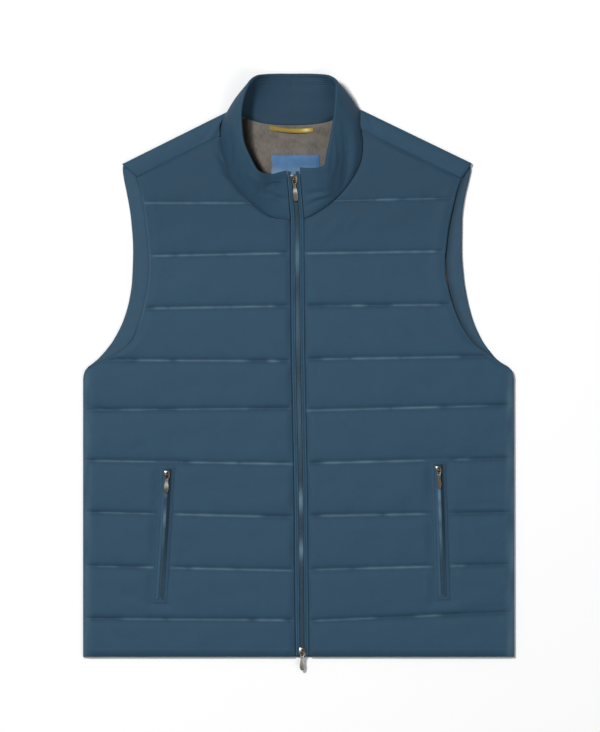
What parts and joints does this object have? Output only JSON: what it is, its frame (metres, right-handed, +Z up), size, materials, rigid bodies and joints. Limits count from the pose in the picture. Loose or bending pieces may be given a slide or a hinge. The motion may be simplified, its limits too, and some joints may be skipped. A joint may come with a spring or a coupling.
{
  "type": "quilted vest",
  "caption": "Quilted zip-front vest with a stand collar and zipped side pockets, laid flat with the front up.",
  "frame": {"origin": "on the surface the vest lies on, under the middle of its outline", "axes": "+Z up out of the front of the vest, +Y from the hem to the collar, +X to the right as the front is seen, which is the wearer's left"},
  "size_m": [0.561, 0.7762, 0.0489],
  "materials": {
    "shell": "smooth fine-woven shell cloth, navy with a dull sheen",
    "lining": "matt melange lining, grey-brown",
    "zip_tape": "woven tape, navy",
    "zip_coil": "moulded coil, blue-grey with a soft shine",
    "zip_metal": "dark nickel plating, worn bright on the high edges",
    "hanger_tape": "narrow ribbed tape, old gold",
    "label_cloth": "smooth bare label cloth, light blue"
  },
  "bodies": {
    "vest": {"back": "shell", "front_left": "shell", "front_right": "shell", "armhole_facing_left": "shell", "armhole_facing_right": "shell", "collar_outer": "shell", "collar_inner": "shell", "pocket_welt_left": "shell", "pocket_welt_right": "shell", "back_lining": "lining", "front_zip_tape_left": "zip_tape", "front_zip_tape_right": "zip_tape", "pocket_zip_tape_left": "zip_tape", "pocket_zip_tape_right": "zip_tape", "front_zip_chain": "zip_coil", "pocket_zip_chain_left": "zip_coil", "pocket_zip_chain_right": "zip_coil", "front_slider_top": "zip_metal", "front_slider_bottom": "zip_metal", "pocket_slider_left": "zip_metal", "pocket_slider_right": "zip_metal", "hanger_loop": "hanger_tape", "neck_label": "label_cloth"},
    "front_pull_top": {"front_pull_top": "zip_metal"},
    "front_pull_bottom": {"front_pull_bottom": "zip_metal"},
    "pocket_pull_left": {"pocket_pull_left": "zip_metal"},
    "pocket_pull_right": {"pocket_pull_right": "zip_metal"}
  },
  "joints": [
    {"name": "front_pull_top_hinge", "type": "hinge", "parent": "vest", "child": "front_pull_top", "pos_m": [-0.00623, 0.2502, 0.02307], "axis": [-0.9967, -0.0817, 0], "range_deg": [0, 150]},
    {"name": "front_pull_bottom_hinge", "type": "hinge", "parent": "vest", "child": "front_pull_bottom", "pos_m": [0.00436, -0.3637, 0.0123], "axis": [-1, 0, 0], "range_deg": [0, 150]},
    {"name": "pocket_pull_left_hinge", "type": "hinge", "parent": "vest", "child": "pocket_pull_left", "pos_m": [-0.17125, -0.13318, 0.01365], "axis": [-0.9983, 0.058, 0], "range_deg": [0, 150]},
    {"name": "pocket_pull_right_hinge", "type": "hinge", "parent": "vest", "child": "pocket_pull_right", "pos_m": [0.18176, -0.12719, 0.01365], "axis": [-0.9995, -0.032, 0], "range_deg": [0, 150]}
  ]
}
